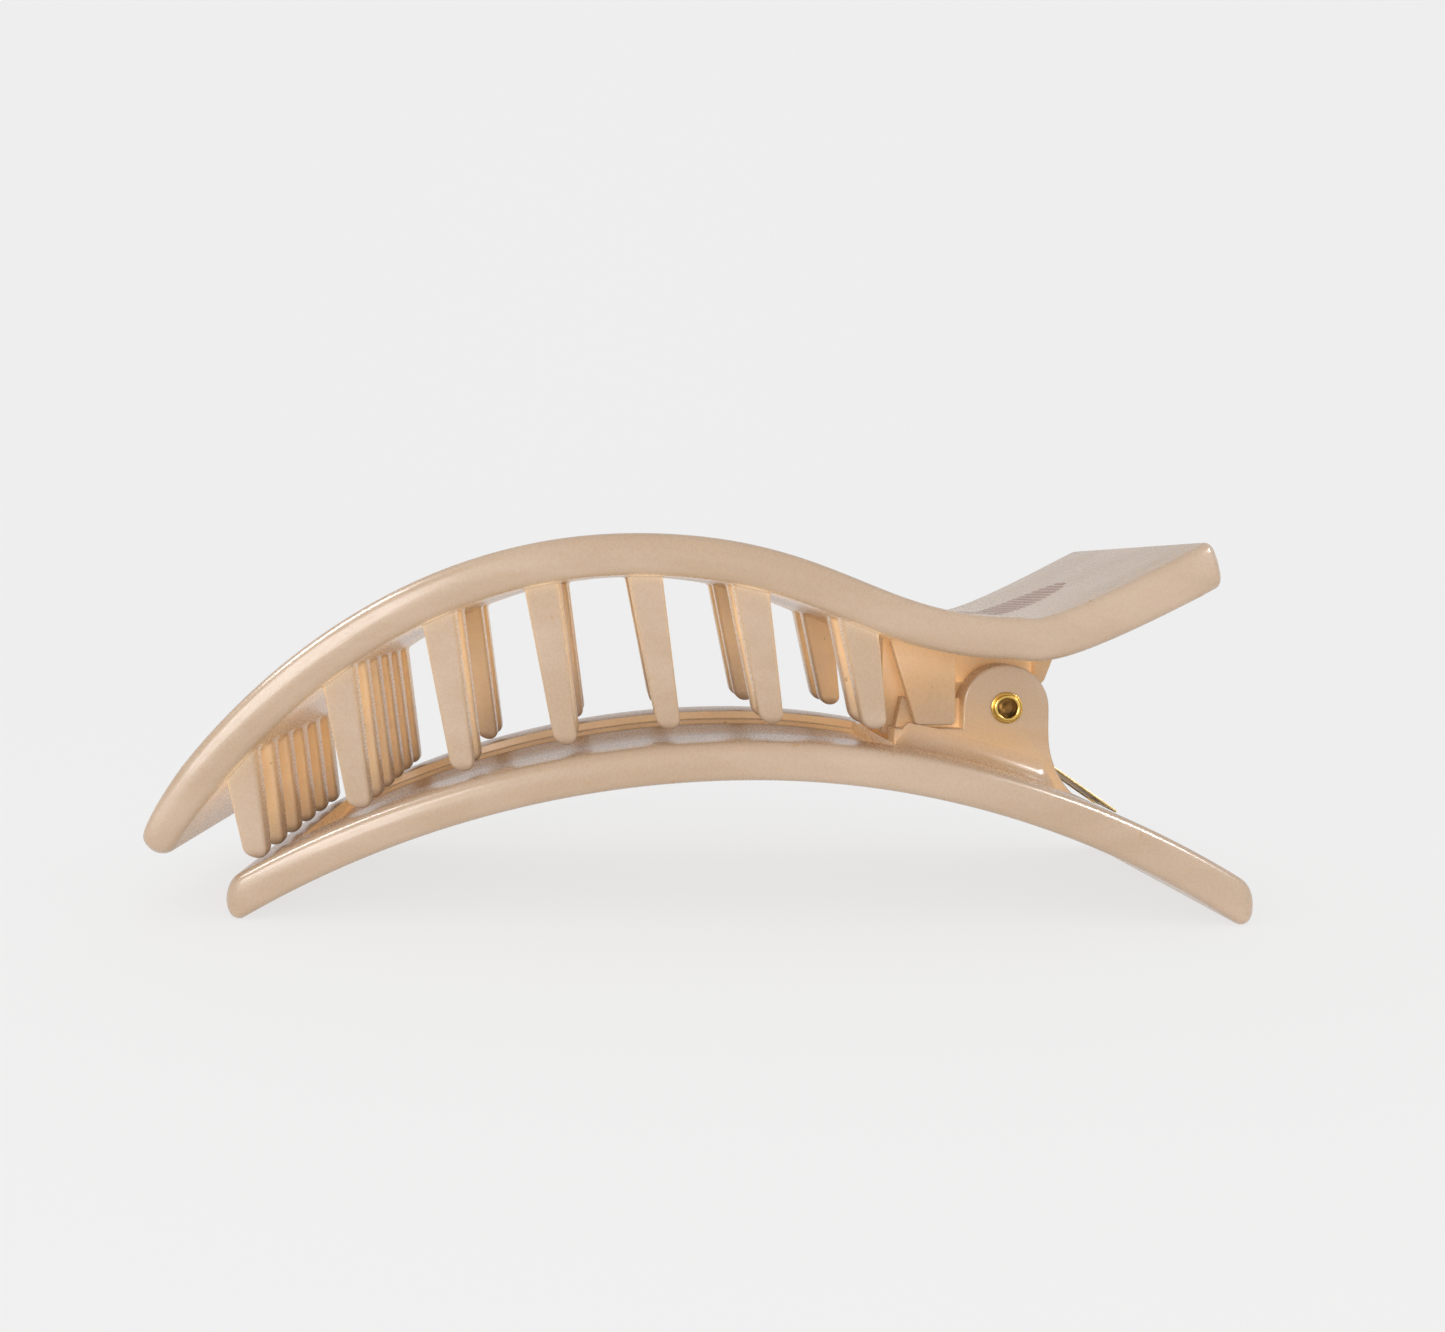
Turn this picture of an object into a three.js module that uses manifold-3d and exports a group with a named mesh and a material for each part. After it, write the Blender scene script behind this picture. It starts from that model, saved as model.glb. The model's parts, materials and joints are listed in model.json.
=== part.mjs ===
// A large alligator hair clip, in millimetres.
// Two moulded jaws are hinged on one hollow rivet and held shut by a folded flat spring.
// X runs from the toothed tip (-X) to the finger handles (+X), Y across the clip, Z up.
// The clip stands on the two ends of its arched lower jaw, and Z = 0 is what it stands on.

import * as THREE from 'three';
import { mergeVertices } from 'three/addons/utils/BufferGeometryUtils.js';
import Module from 'manifold-3d';

// ---- Driving dimensions ----

const WIDTH = 36;
const LENGTH = 116;
const EDGE_ROUND = 0.9;
const CORNER_ROUND = 1.8;

// The hinge axis lies along Y, through this point of the side view.
const PIN = new THREE.Vector2(34.7, 21.55);

// Lower jaw: an arched plate. Its top and its underside are each two arcs that meet at a crest.
const LOWER_TIP_X = -49.5;
const LOWER_HEEL_X = LENGTH / 2;
const LOWER_TOP_CREST = new THREE.Vector2(6.5, 18.8);
const LOWER_TOP_TIP_RADIUS = 112;
const LOWER_TOP_HEEL_RADIUS = 96;
const LOWER_ARCH_CREST = new THREE.Vector2(6.5, 14.7);
const LOWER_END_ROUND = 1.5;

// The channel moulded into the top of the lower jaw, between the rims that the teeth meet.
const CHANNEL_FROM_X = -43;
const CHANNEL_TO_X = 21.8;
const CHANNEL_STEPS = [
  { halfWidth: 11, depth: 0.9 },
  { halfWidth: 9.5, depth: 1.4 },
];

// Upper jaw: an S-curved plate, given by the tip, crest, trough and heel of its centre line.
const UPPER_HALF_THICKNESS = 2.2;
const UPPER_HEEL_HALF_THICKNESS = 2.4;
const UPPER_TIP_HALF_THICKNESS = 1.8;
const UPPER_TIP = new THREE.Vector2(UPPER_TIP_HALF_THICKNESS - LENGTH / 2, 8.3);
const UPPER_TIP_ANGLE = 68;
const UPPER_CREST = new THREE.Vector2(-6.4, 38.2);
const UPPER_TROUGH = new THREE.Vector2(32.4, 29.7);
const UPPER_HEEL = new THREE.Vector2(52.6, 37.1);
const UPPER_HEEL_ANGLE = 28;
const UPPER_HEEL_BLUNT = 1.2;
const UPPER_HEEL_OVERHANG = 0.9;
const UPPER_THINNED_SHARE = 0.25;

// How far the centre line keeps close to its direction before and after each of those places.
const TIP_PULL = 4;
const CREST_PULLS = [31, 20];
const TROUGH_PULLS = [15, 3];
const HEEL_PULL = 20;

// Teeth: seven rows along the clip, in six columns across it.
const TOOTH_ROWS = 7;
const FIRST_TOOTH_X = -46.4;
const TOOTH_PITCH_X = 10.82;
const TOOTH_COLUMNS = 6;
const TOOTH_INSET_Y = 2.8;
const FULL_ROWS = 2;
const TOOTH_LEAN = 9.4;
const TOOTH_ROOT_HALF = new THREE.Vector2(1.85, 1.4);
const TOOTH_TIP_HALF = new THREE.Vector2(1.3, 1.05);
const FIRST_TOOTH_GAP = 0.4;
const TOOTH_GAP_GROWTH = 0.24;

// Hinge: distances from the middle of the clip, from the ears of the lower jaw inwards.
const EAR_OUTER_Y = 8.8;
const EAR_INNER_Y = 5.8;
const CHEEK_OUTER_Y = 8.7;
const CHEEK_INNER_Y = 7.4;
const FENCE_OUTER_Y = 7.1;
const LUG_OUTER_Y = 5.5;
const LUG_INNER_Y = 3.9;
const POCKET_FLOOR_Y = 4.6;

// Hinge: the shapes of its parts in the side view.
const HINGE_FROM_X = 22.2;
const SUNK = 1.5;
const EAR_RADIUS = 4.8;
const EAR_FOOT = 2.8;
const EAR_EDGE_ROUND = 0.35;
const SHOULDER_Z = 19.2;
const FENCE_TOP_Z = 22.5;
const FENCE_SLOPE = 1.2;
const CHEEK_BOTTOM_Z = 19.55;
const CHEEK_LEAN = 3.4;
const CHEEK_TOP_X = HINGE_FROM_X - CHEEK_LEAN / 3;
const CHEEK_TO_EAR = 0.8;
const CHEEK_CORNER = 0.7;
const LUG_FROM_X = HINGE_FROM_X - CHEEK_LEAN / 6;
const LUG_BOTTOM_Z = SHOULDER_Z - 1;
const LUG_RADIUS = 4.2;
const LUG_ARC = [1.42 * Math.PI, 2.1 * Math.PI];
const LUG_BACK_RISE = 2.8;
const LUG_BACK_X = PIN.x + 5.5;
const LUG_TOP_X = PIN.x + 8.6;
const POCKET_FROM_X = PIN.x - 5.4;
const POCKET_TO_X = PIN.x + 4.3;
const POCKET_RISE = 2.6;
const POCKET_CUT_Y = LUG_OUTER_Y + 1;

// Rivet: a tube with a flared and rolled end at each ear.
const RIVET_RADIUS = 1.3;
const RIVET_BORE_RADIUS = 1.08;
const RIVET_FLANGE_RADIUS = 1.75;
const RIVET_FLANGE = 0.3;
const RIVET_LIP = 0.2;
const PRESSED_GAP = 0.02;
const RUNNING_GAP = 0.07;

// Spring: a flat strip folded round the rivet, with one leg on each handle.
const SPRING_WIDTH = 6.8;
const SPRING_THICKNESS = 0.3;
const SPRING_BEND_RADIUS = 1.9;
const SPRING_LOWER_CONTACT_X = 49.5;
const SPRING_UPPER_CONTACT_X = 44;
const SPRING_REST_GAP = 0.18;

const ROUND_SEGMENTS = 24;
const UPPER_CURVE_STEPS = [14, 12, 9];
const UPPER_TIP_STEPS = 6;
const TOOTH_SIDES = 10;
const TOOTH_DOME_STEPS = 3;

// ---- Solids ----

const wasm = await Module();
wasm.setup();

function toSolid(geometry) {
  const bare = geometry.clone();
  bare.deleteAttribute('normal');
  bare.deleteAttribute('uv');
  const merged = mergeVertices(bare);
  const corners = [];
  const index = merged.index.array;
  for (let i = 0; i < index.length; i += 3) {
    const [a, b, c] = [index[i], index[i + 1], index[i + 2]];
    if (a !== b && b !== c && c !== a) {
      corners.push(a, b, c);
    }
  }
  return new wasm.Manifold(new wasm.Mesh({
    numProp: 3,
    vertProperties: new Float32Array(merged.attributes.position.array),
    triVerts: new Uint32Array(corners),
  }));
}

function toGeometry(solid) {
  const mesh = solid.getMesh();
  const geometry = new THREE.BufferGeometry();
  geometry.setAttribute('position', new THREE.BufferAttribute(mesh.vertProperties, mesh.numProp));
  geometry.setIndex(new THREE.BufferAttribute(mesh.triVerts, 1));
  geometry.computeVertexNormals();
  return geometry;
}

function unite(solids) {
  return solids.reduce((sum, solid) => sum.add(solid));
}

// A side-view shape made solid from y = from to y = to, with rounded edges of the given size.
function slab(shape, from, to, round = 0, curveSegments = 8) {
  const depth = to - from - 2 * round;
  const geometry = new THREE.ExtrudeGeometry(shape, {
    depth,
    curveSegments,
    bevelEnabled: round > 0,
    bevelThickness: round,
    bevelSize: round,
    bevelOffset: -round,
    bevelSegments: 2,
  });
  geometry.rotateX(Math.PI / 2);
  geometry.translate(0, to - round, 0);
  return toSolid(geometry);
}

// The same shape on both sides of the clip, between the distances near and far from its middle.
function slabOnBothSides(shape, near, far, round = 0, curveSegments = 8) {
  return slab(shape, near, far, round, curveSegments).add(
    slab(shape, -far, -near, round, curveSegments),
  );
}

function polygon(points) {
  return new THREE.Shape(points.map(([x, z]) => new THREE.Vector2(x, z)));
}

// A rod along the hinge axis, reaching the same distance to both sides.
function hingeRod(radius, halfLength) {
  const rod = new THREE.CylinderGeometry(radius, radius, 2 * halfLength, ROUND_SEGMENTS);
  rod.translate(PIN.x, 0, PIN.y);
  return toSolid(rod);
}

// The plan of a jaw, with round corners, as tall as the whole clip.
function planOutline(fromX, toX) {
  const half = WIDTH / 2;
  const plan = new THREE.Shape();
  plan.moveTo(fromX + CORNER_ROUND, -half);
  plan.absarc(toX - CORNER_ROUND, CORNER_ROUND - half, CORNER_ROUND, -Math.PI / 2, 0);
  plan.absarc(toX - CORNER_ROUND, half - CORNER_ROUND, CORNER_ROUND, 0, Math.PI / 2);
  plan.absarc(fromX + CORNER_ROUND, half - CORNER_ROUND, CORNER_ROUND, Math.PI / 2, Math.PI);
  plan.absarc(fromX + CORNER_ROUND, CORNER_ROUND - half, CORNER_ROUND, Math.PI, 1.5 * Math.PI);
  const block = new THREE.ExtrudeGeometry(plan, {
    depth: LENGTH,
    curveSegments: 4,
    bevelEnabled: false,
  });
  block.translate(0, 0, -LENGTH / 4);
  return toSolid(block);
}

// ---- Lower jaw ----

function lowerTopZ(x) {
  const run = x - LOWER_TOP_CREST.x;
  const radius = run < 0 ? LOWER_TOP_TIP_RADIUS : LOWER_TOP_HEEL_RADIUS;
  return LOWER_TOP_CREST.y - radius + Math.sqrt(radius ** 2 - run ** 2);
}

// The radius of the underside's arc from the crest to an end, whose round foot touches Z = 0.
function archRadius(endRun) {
  const run = endRun - LOWER_END_ROUND;
  const rise = LOWER_ARCH_CREST.y - LOWER_END_ROUND;
  return (run ** 2 + rise ** 2 - LOWER_END_ROUND ** 2) / (2 * (rise + LOWER_END_ROUND));
}

function lowerPlateOutline() {
  const crest = LOWER_ARCH_CREST;
  const round = LOWER_END_ROUND;
  const outline = new THREE.Shape();
  const tipRadius = archRadius(crest.x - LOWER_TIP_X);
  const heelRadius = archRadius(LOWER_HEEL_X - crest.x);
  const tipAngle = Math.asin((crest.x - LOWER_TIP_X - round) / (tipRadius + round));
  const heelAngle = Math.asin((LOWER_HEEL_X - crest.x - round) / (heelRadius + round));
  const up = Math.PI / 2;

  outline.absarc(crest.x, crest.y - tipRadius, tipRadius, up + tipAngle, up, true);
  outline.absarc(crest.x, crest.y - heelRadius, heelRadius, up, up - heelAngle, true);
  outline.absarc(LOWER_HEEL_X - round, round, round, -up - heelAngle, 0);
  outline.lineTo(LOWER_HEEL_X, lowerTopZ(LOWER_HEEL_X) - round);
  outline.quadraticCurveTo(
    LOWER_HEEL_X, lowerTopZ(LOWER_HEEL_X),
    LOWER_HEEL_X - round, lowerTopZ(LOWER_HEEL_X - round),
  );
  const top = LOWER_TOP_CREST;
  outline.absarc(
    top.x, top.y - LOWER_TOP_HEEL_RADIUS, LOWER_TOP_HEEL_RADIUS,
    Math.acos((LOWER_HEEL_X - round - top.x) / LOWER_TOP_HEEL_RADIUS), up,
  );
  outline.absarc(
    top.x, top.y - LOWER_TOP_TIP_RADIUS, LOWER_TOP_TIP_RADIUS,
    up, Math.acos((LOWER_TIP_X + round - top.x) / LOWER_TOP_TIP_RADIUS),
  );
  outline.quadraticCurveTo(
    LOWER_TIP_X, lowerTopZ(LOWER_TIP_X),
    LOWER_TIP_X, lowerTopZ(LOWER_TIP_X) - round,
  );
  outline.lineTo(LOWER_TIP_X, round);
  outline.absarc(LOWER_TIP_X + round, round, round, Math.PI, 1.5 * Math.PI + tipAngle);
  return outline;
}

// One step of the channel: a band that follows the top surface, cut down to the given depth.
function channelCut({ halfWidth, depth }) {
  const steps = 24;
  const clear = 1;
  const floor = [];
  const lid = [];
  for (let i = 0; i <= steps; i += 1) {
    const x = THREE.MathUtils.lerp(CHANNEL_FROM_X, CHANNEL_TO_X, i / steps);
    floor.push([x, lowerTopZ(x) - depth]);
    lid.unshift([x, lowerTopZ(x) + clear]);
  }
  return slab(polygon([...floor, ...lid]), -halfWidth, halfWidth);
}

// An ear and the shoulder it stands on, sunk into the plate. A fillet leads down to the handle.
function earOutline() {
  const right = PIN.x + EAR_RADIUS;
  const footX = right + EAR_FOOT;
  const ear = new THREE.Shape();
  ear.moveTo(HINGE_FROM_X, lowerTopZ(HINGE_FROM_X) - SUNK);
  ear.lineTo(footX, lowerTopZ(footX) - SUNK);
  ear.lineTo(footX, lowerTopZ(footX));
  ear.quadraticCurveTo(right, lowerTopZ(footX) + EAR_FOOT, right, PIN.y - EAR_FOOT);
  ear.absarc(PIN.x, PIN.y, EAR_RADIUS, 0, Math.PI);
  ear.lineTo(PIN.x - EAR_RADIUS, SHOULDER_Z);
  ear.lineTo(HINGE_FROM_X, SHOULDER_Z);
  return ear;
}

// The fence beside each ear, which keeps hair away from the spring.
function fenceOutline() {
  const bottomZ = SHOULDER_Z - 2 * SUNK;
  return polygon([
    [HINGE_FROM_X, bottomZ],
    [PIN.x, bottomZ],
    [PIN.x - FENCE_SLOPE, FENCE_TOP_Z],
    [HINGE_FROM_X + FENCE_SLOPE, FENCE_TOP_Z],
  ]);
}

function lowerJaw() {
  const half = WIDTH / 2;
  const channel = unite(CHANNEL_STEPS.map(channelCut));
  const plate = slab(lowerPlateOutline(), -half, half, EDGE_ROUND, 12)
    .intersect(planOutline(LOWER_TIP_X, LOWER_HEEL_X))
    .subtract(channel);
  const ears = slabOnBothSides(earOutline(), EAR_INNER_Y, EAR_OUTER_Y, EAR_EDGE_ROUND);
  const fences = slabOnBothSides(fenceOutline(), EAR_INNER_Y, FENCE_OUTER_Y);
  return unite([plate, ears, fences]).subtract(
    hingeRod(RIVET_RADIUS + PRESSED_GAP, WIDTH),
  );
}

// ---- Upper jaw ----

function heading(degrees, length) {
  const angle = THREE.MathUtils.degToRad(degrees);
  return new THREE.Vector2(length * Math.cos(angle), length * Math.sin(angle));
}

function upperCentreLine() {
  const level = (x) => new THREE.Vector2(x, 0);
  const rise = new THREE.CubicBezierCurve(
    UPPER_TIP,
    UPPER_TIP.clone().add(heading(UPPER_TIP_ANGLE, TIP_PULL)),
    UPPER_CREST.clone().sub(level(CREST_PULLS[0])),
    UPPER_CREST,
  );
  const fall = new THREE.CubicBezierCurve(
    UPPER_CREST,
    UPPER_CREST.clone().add(level(CREST_PULLS[1])),
    UPPER_TROUGH.clone().sub(level(TROUGH_PULLS[0])),
    UPPER_TROUGH,
  );
  const handle = new THREE.CubicBezierCurve(
    UPPER_TROUGH,
    UPPER_TROUGH.clone().add(level(TROUGH_PULLS[1])),
    UPPER_HEEL.clone().sub(heading(UPPER_HEEL_ANGLE, HEEL_PULL)),
    UPPER_HEEL,
  );
  return [rise, fall, handle];
}

// The plate thins towards its tip and thickens a little towards the end of the handle.
function upperHalfThickness(part, t) {
  if (part === 0) {
    const grown = Math.min(t / UPPER_THINNED_SHARE, 1);
    return THREE.MathUtils.lerp(UPPER_TIP_HALF_THICKNESS, UPPER_HALF_THICKNESS, grown);
  }
  const thickened = part === 2 ? t : 0;
  return THREE.MathUtils.lerp(UPPER_HALF_THICKNESS, UPPER_HEEL_HALF_THICKNESS, thickened);
}

// Points along the centre line, each with the plate's normal and half thickness there.
function upperStations() {
  const stations = [];
  upperCentreLine().forEach((curve, part) => {
    const steps = UPPER_CURVE_STEPS[part];
    for (let i = part === 0 ? 0 : 1; i <= steps; i += 1) {
      const t = i / steps;
      const tangent = curve.getTangent(t);
      stations.push({
        at: curve.getPoint(t),
        normal: new THREE.Vector2(-tangent.y, tangent.x),
        half: upperHalfThickness(part, t),
      });
    }
  });
  return stations;
}

const STATIONS = upperStations();

function offsetPoint({ at, normal, half }, side) {
  return at.clone().addScaledVector(normal, side * half);
}

// The height of the plate's centre line, or of its faces when side is 1 or -1.
function upperZ(x, side = 0) {
  const line = STATIONS.map((station) => offsetPoint(station, side));
  const after = line.findIndex((point) => point.x > x);
  const [a, b] = [line[after - 1], line[after]];
  return THREE.MathUtils.mapLinear(x, a.x, b.x, a.y, b.y);
}

// Both faces of the plate, closed by a bevelled heel and a round tip. The heel is cut more upright
// than the handle slopes, so its upper edge reaches further than its lower one.
function upperPlateOutline() {
  const tip = STATIONS[0];
  const heel = STATIONS[STATIONS.length - 1];
  const bevel = UPPER_HEEL_BLUNT;
  const outwards = new THREE.Vector2(heel.normal.y, -heel.normal.x);
  const heelPoint = (offset, reach) => heel.at.clone()
    .addScaledVector(heel.normal, offset)
    .addScaledVector(outwards, reach);
  const outline = STATIONS.map((station) => offsetPoint(station, 1));
  outline.push(
    heelPoint(heel.half, UPPER_HEEL_OVERHANG),
    heelPoint(heel.half - bevel, UPPER_HEEL_OVERHANG + bevel),
    heelPoint(bevel - heel.half, bevel),
  );
  outline.push(...STATIONS.map((station) => offsetPoint(station, -1)).reverse());
  for (let i = 1; i < UPPER_TIP_STEPS; i += 1) {
    const angle = tip.normal.angle() - Math.PI * (1 + i / UPPER_TIP_STEPS);
    outline.push(new THREE.Vector2(
      tip.at.x + tip.half * Math.cos(angle),
      tip.at.y + tip.half * Math.sin(angle),
    ));
  }
  return new THREE.Shape(outline);
}

// One tooth: an oval tapered peg with a domed end, from inside the plate down to its tip.
function tooth(tipX, tipZ, y) {
  const lean = THREE.MathUtils.degToRad(TOOTH_LEAN);
  let rootX = tipX;
  // The root's place and its height depend on each other, and four passes settle them.
  for (let pass = 0; pass < 4; pass += 1) {
    rootX = tipX - (upperZ(rootX) - tipZ) * Math.tan(lean);
  }
  const length = (upperZ(rootX) - tipZ) / Math.cos(lean);
  const domeLength = TOOTH_TIP_HALF.x;
  const profile = [
    new THREE.Vector2(0, 0),
    new THREE.Vector2(TOOTH_ROOT_HALF.x, 0),
    new THREE.Vector2(TOOTH_TIP_HALF.x, length - domeLength),
  ];
  for (let i = 1; i <= TOOTH_DOME_STEPS; i += 1) {
    const angle = (Math.PI / 2) * (i / TOOTH_DOME_STEPS);
    profile.push(new THREE.Vector2(
      i === TOOTH_DOME_STEPS ? 0 : TOOTH_TIP_HALF.x * Math.cos(angle),
      length - domeLength + domeLength * Math.sin(angle),
    ));
  }
  const peg = new THREE.LatheGeometry(profile, TOOTH_SIDES);
  const flatness = (TOOTH_ROOT_HALF.y / TOOTH_ROOT_HALF.x + TOOTH_TIP_HALF.y / TOOTH_TIP_HALF.x) / 2;
  peg.scale(1, 1, flatness);
  peg.rotateX(-Math.PI / 2);
  peg.rotateY(-lean);
  peg.translate(rootX, y, upperZ(rootX));
  return toSolid(peg);
}

function teeth() {
  const pegs = [];
  const span = WIDTH - 2 * TOOTH_INSET_Y;
  for (let row = 0; row < TOOTH_ROWS; row += 1) {
    const x = FIRST_TOOTH_X + row * TOOTH_PITCH_X;
    const z = lowerTopZ(x) + FIRST_TOOTH_GAP + row * TOOTH_GAP_GROWTH;
    for (let column = 0; column < TOOTH_COLUMNS; column += 1) {
      const isMiddle = column === 2 || column === 3;
      if (row < FULL_ROWS || !isMiddle) {
        pegs.push(tooth(x, z, -span / 2 + (span * column) / (TOOTH_COLUMNS - 1)));
      }
    }
  }
  return pegs;
}

// The cheek in front of each ear, a leaning panel that hangs from the plate.
function cheekOutline() {
  const right = PIN.x - EAR_RADIUS - CHEEK_TO_EAR;
  const bottomLeft = CHEEK_TOP_X + CHEEK_LEAN;
  const corner = CHEEK_CORNER;
  const cheek = new THREE.Shape();
  cheek.moveTo(CHEEK_TOP_X, upperZ(CHEEK_TOP_X));
  cheek.lineTo(bottomLeft, CHEEK_BOTTOM_Z + corner);
  cheek.quadraticCurveTo(bottomLeft, CHEEK_BOTTOM_Z, bottomLeft + corner, CHEEK_BOTTOM_Z);
  cheek.lineTo(right - corner, CHEEK_BOTTOM_Z);
  cheek.quadraticCurveTo(right, CHEEK_BOTTOM_Z, right, CHEEK_BOTTOM_Z + corner);
  cheek.lineTo(right, upperZ(right));
  return cheek;
}

// The lug round the rivet, a web that hangs from the plate over the whole hinge.
function lugOutline() {
  const lug = new THREE.Shape();
  lug.moveTo(LUG_TOP_X, upperZ(LUG_TOP_X));
  lug.lineTo(UPPER_TROUGH.x, UPPER_TROUGH.y);
  lug.lineTo(LUG_FROM_X, upperZ(LUG_FROM_X));
  lug.lineTo(LUG_FROM_X, LUG_BOTTOM_Z);
  lug.absarc(PIN.x, PIN.y, LUG_RADIUS, ...LUG_ARC);
  lug.lineTo(LUG_BACK_X, PIN.y + LUG_BACK_RISE);
  return lug;
}

// The pocket in each lug above its ear, open to the outside.
function pocketCut() {
  const pocket = polygon([
    [POCKET_FROM_X, PIN.y + POCKET_RISE],
    [POCKET_TO_X, PIN.y + POCKET_RISE],
    [POCKET_TO_X, upperZ(POCKET_TO_X, -1)],
    [POCKET_FROM_X, upperZ(POCKET_FROM_X, -1)],
  ]);
  return slabOnBothSides(pocket, POCKET_FLOOR_Y, POCKET_CUT_Y);
}

function upperJaw() {
  const half = WIDTH / 2;
  const plate = slab(upperPlateOutline(), -half, half, EDGE_ROUND).intersect(
    planOutline(-LENGTH / 2, UPPER_HEEL.x + UPPER_HALF_THICKNESS),
  );
  const lugs = slabOnBothSides(lugOutline(), LUG_INNER_Y, LUG_OUTER_Y, 0, 10)
    .subtract(pocketCut());
  const cheeks = slabOnBothSides(cheekOutline(), CHEEK_INNER_Y, CHEEK_OUTER_Y, 0, 3);
  return unite([plate, ...teeth(), lugs, cheeks]).subtract(
    hingeRod(RIVET_RADIUS + RUNNING_GAP, WIDTH),
  );
}

// ---- Rivet ----

function rivet() {
  const seat = EAR_OUTER_Y + PRESSED_GAP;
  const flangeEnd = seat + RIVET_FLANGE;
  const end = flangeEnd + RIVET_LIP;
  const lipRadius = (RIVET_RADIUS + RIVET_FLANGE_RADIUS) / 2;
  const halfProfile = [
    [RIVET_BORE_RADIUS, end],
    [RIVET_RADIUS, end],
    [lipRadius, flangeEnd],
    [RIVET_FLANGE_RADIUS, flangeEnd],
    [RIVET_FLANGE_RADIUS, seat],
    [RIVET_RADIUS, seat],
  ];
  const mirrored = halfProfile.map(([radius, y]) => [radius, -y]).reverse();
  const loop = [...halfProfile, ...mirrored, halfProfile[0]];
  const profile = loop.map(([radius, y]) => new THREE.Vector2(radius, y)).reverse();
  const body = new THREE.LatheGeometry(profile, ROUND_SEGMENTS);
  body.translate(PIN.x, 0, PIN.y);
  return toSolid(body);
}

// ---- Spring ----

// The direction of a leg that leaves the bend on the given side and ends at a contact point.
function legAngle(contact, side) {
  const run = contact.clone().sub(PIN);
  return Math.atan2(run.y, run.x) - side * Math.asin(SPRING_BEND_RADIUS / run.length());
}

function springOutline() {
  const rest = SPRING_THICKNESS / 2 + SPRING_REST_GAP;
  const legs = [1, -1].map((side) => {
    const x = side === 1 ? SPRING_UPPER_CONTACT_X : SPRING_LOWER_CONTACT_X;
    const z = side === 1 ? upperZ(x, -1) - rest : lowerTopZ(x) + rest;
    const contact = new THREE.Vector2(x, z);
    const angle = legAngle(contact, side);
    const normal = new THREE.Vector2(-side * Math.sin(angle), side * Math.cos(angle));
    return { contact, normal, turn: angle + side * Math.PI / 2 };
  });
  const [upper, lower] = legs;
  const halfThick = SPRING_THICKNESS / 2;
  const end = (leg, offset) => leg.contact.clone().addScaledVector(leg.normal, offset);
  const strip = new THREE.Shape();
  strip.absarc(
    PIN.x, PIN.y, SPRING_BEND_RADIUS + halfThick, upper.turn, lower.turn + 2 * Math.PI,
  );
  strip.lineTo(end(lower, halfThick).x, end(lower, halfThick).y);
  strip.lineTo(end(lower, -halfThick).x, end(lower, -halfThick).y);
  strip.absarc(
    PIN.x, PIN.y, SPRING_BEND_RADIUS - halfThick, lower.turn + 2 * Math.PI, upper.turn, true,
  );
  strip.lineTo(end(upper, -halfThick).x, end(upper, -halfThick).y);
  strip.lineTo(end(upper, halfThick).x, end(upper, halfThick).y);
  return strip;
}

function spring() {
  return slab(springOutline(), -SPRING_WIDTH / 2, SPRING_WIDTH / 2, 0, 16);
}

// ---- The clip ----

function pearlPlastic() {
  return new THREE.MeshStandardMaterial({ color: 0xd6bfa8, roughness: 0.3, metalness: 0 });
}

function goldMetal() {
  return new THREE.MeshStandardMaterial({ color: 0xd9b45a, roughness: 0.25, metalness: 1 });
}

function named(name, solid, material) {
  const mesh = new THREE.Mesh(toGeometry(solid), material);
  mesh.name = name;
  return mesh;
}

const clip = new THREE.Group();
clip.add(named('lower_jaw', lowerJaw(), pearlPlastic()));
clip.add(named('upper_jaw', upperJaw(), pearlPlastic()));
clip.add(named('hinge_rivet', rivet(), goldMetal()));
clip.add(named('flat_spring', spring(), goldMetal()));

export default clip;
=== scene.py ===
"""A large alligator hair clip of pearl plastic, with a gold rivet and a gold flat spring.

X runs from the toothed tip (-X) to the finger handles (+X), Y across the clip, Z up.
The named sizes are in millimetres, and MM turns them into Blender's metres.
"""

import json
import math

import bmesh
import bpy
from mathutils import Matrix, Vector


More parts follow.
